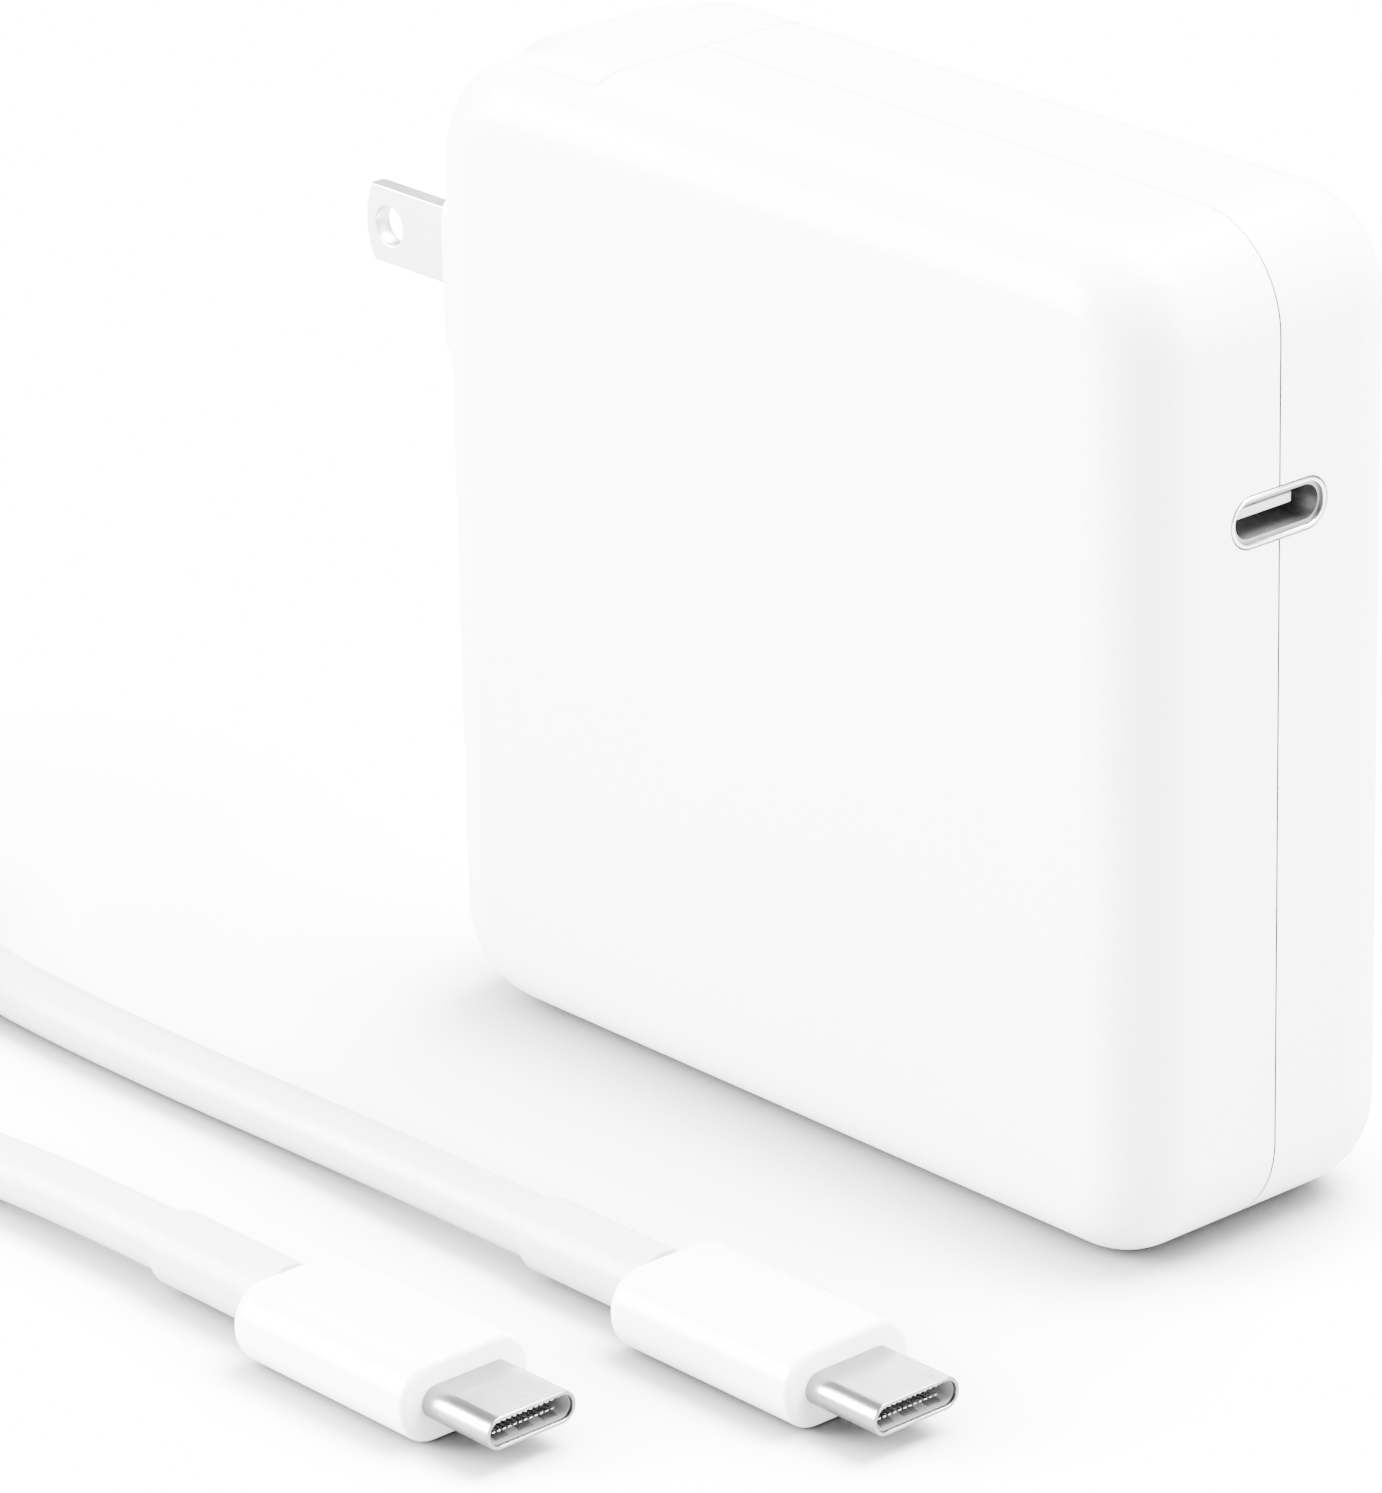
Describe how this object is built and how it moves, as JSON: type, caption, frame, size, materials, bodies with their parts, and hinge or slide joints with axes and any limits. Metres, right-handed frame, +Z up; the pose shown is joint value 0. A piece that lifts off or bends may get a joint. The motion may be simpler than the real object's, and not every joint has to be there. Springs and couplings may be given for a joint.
{
  "type": "laptop power adapter",
  "caption": "Square white laptop power adapter with a slide-off folding-blade mains plug, a small rounded output port and a loose charge cable with a reversible plug at each end.",
  "frame": {"origin": "centre of the flat lower edge that the adapter stands on", "axes": "+Z up; X is the width, -X the side with the mains blades and +X the side with the output port; Y is the thickness, the seam between the two shells is at Y = 0"},
  "size_m": [0.1948, 0.1006, 0.08],
  "materials": {
    "shell_white": "high gloss white moulded polycarbonate",
    "plug_white": "high gloss white moulded polycarbonate",
    "blade_metal": "nickel plated brass, fine drawn finish",
    "port_metal": "bright nickel plated steel",
    "insulator_light": "light grey moulded insulator",
    "insulator_dark": "dark moulded insulator",
    "contact_gold": "gold flashed contact",
    "pin_metal": "nickel plated pin",
    "spring_steel": "spring steel",
    "board_green": "glass fibre board with solder mask",
    "capacitor_sleeve": "heat shrunk capacitor sleeve",
    "film_yellow": "moulded film capacitor case",
    "ferrite": "sintered ferrite",
    "bobbin": "moulded bobbin",
    "winding": "winding wrapped in yellow film tape",
    "semiconductor": "moulded semiconductor package",
    "ceramic_blue": "dipped disc capacitor",
    "heat_metal": "bare aluminium sheet",
    "insulation_film": "thin insulating film",
    "pad_grey": "soft thermal pad",
    "cable_white": "soft satin white cable jacket",
    "overmould_white": "gloss white moulded grip",
    "plug_metal": "drawn stainless plug shell",
    "tie_white": "white hook-and-loop strap"
  },
  "bodies": {
    "adapter": {"bridge_rectifier": "semiconductor", "bulk_capacitors": "capacitor_sleeve", "cable_coil": "cable_white", "cable_tie": "tie_white", "control_board": "board_green", "far_lead": "cable_white", "far_overmould": "overmould_white", "far_sleeve": "cable_white", "far_tip_contacts": "contact_gold", "far_tip_insulator": "insulator_dark", "far_tip_shell": "plug_metal", "front_shell": "shell_white", "heat_spreader": "heat_metal", "inlet_block": "insulator_dark", "inlet_choke": "ferrite", "inlet_fuse": "semiconductor", "inlet_pin_front": "pin_metal", "inlet_pin_rear": "pin_metal", "insulation_sheet": "insulation_film", "locking_stud": "pin_metal", "main_board": "board_green", "main_transistor": "semiconductor", "near_lead": "cable_white", "near_overmould": "overmould_white", "near_sleeve": "cable_white", "near_tip_contacts": "contact_gold", "near_tip_insulator": "insulator_dark", "near_tip_shell": "plug_metal", "output_capacitors": "capacitor_sleeve", "output_heat_sink": "heat_metal", "output_rectifier": "semiconductor", "port_board": "board_green", "port_contacts": "contact_gold", "port_rim": "port_metal", "port_shell": "port_metal", "port_tongue": "insulator_light", "primary_heat_sink": "heat_metal", "rear_shell": "shell_white", "thermal_pad": "pad_grey", "transformer_bobbin": "bobbin", "transformer_core": "ferrite", "transformer_winding": "winding", "x_capacitor": "film_yellow", "y_capacitor": "ceramic_blue"},
    "plug": {"plug_housing": "plug_white", "plug_cover": "plug_white", "pivot_pin": "pin_metal", "detent_spring": "spring_steel", "plug_socket_front": "pin_metal", "plug_socket_rear": "pin_metal"},
    "prongs": {"blade_front": "blade_metal", "blade_rear": "blade_metal", "prong_barrel": "plug_white"}
  },
  "joints": [
    {"name": "plug_slide", "type": "slide", "parent": "adapter", "child": "plug", "axis": [0, 0, 1], "range_m": [0, 0.03]},
    {"name": "prong_fold", "type": "hinge", "parent": "plug", "child": "prongs", "pos_m": [-0.0366, 0, 0.0601], "axis": [0, 1, 0], "range_deg": [0, 90]}
  ]
}
